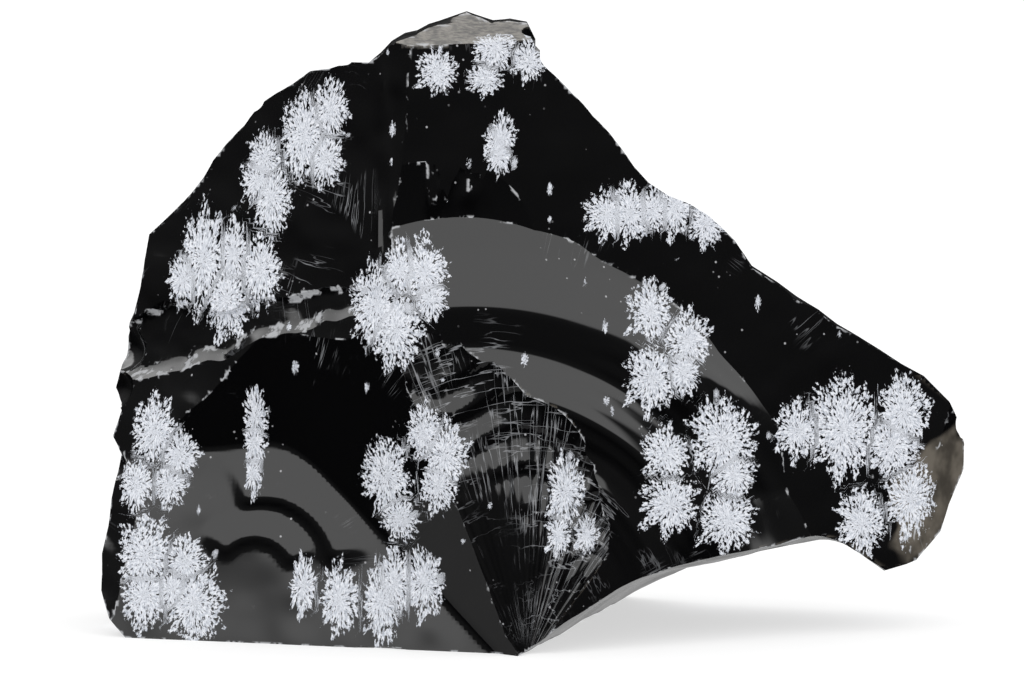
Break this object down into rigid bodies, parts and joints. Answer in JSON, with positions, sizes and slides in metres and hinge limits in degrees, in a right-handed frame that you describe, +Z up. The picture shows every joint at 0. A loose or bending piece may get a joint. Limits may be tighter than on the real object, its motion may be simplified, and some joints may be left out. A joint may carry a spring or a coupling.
{
  "type": "snowflake obsidian chunk",
  "caption": "Broken chunk of black volcanic glass with conchoidal scars, sharp ridges and pale snowflake spherulites, standing on a flat base face.",
  "frame": {"origin": "centre of the bounding box in X and Y, on the surface that the chunk stands on", "axes": "+X along the longest side, towards the beak-like tip; -Y out of the broken face with the rippled scar; +Z up"},
  "size_m": [0.0998, 0.0552, 0.071],
  "materials": {
    "snowflake_obsidian": "gloss"
  },
  "bodies": {
    "root": {"obsidian_chunk": "snowflake_obsidian"}
  },
  "joints": []
}
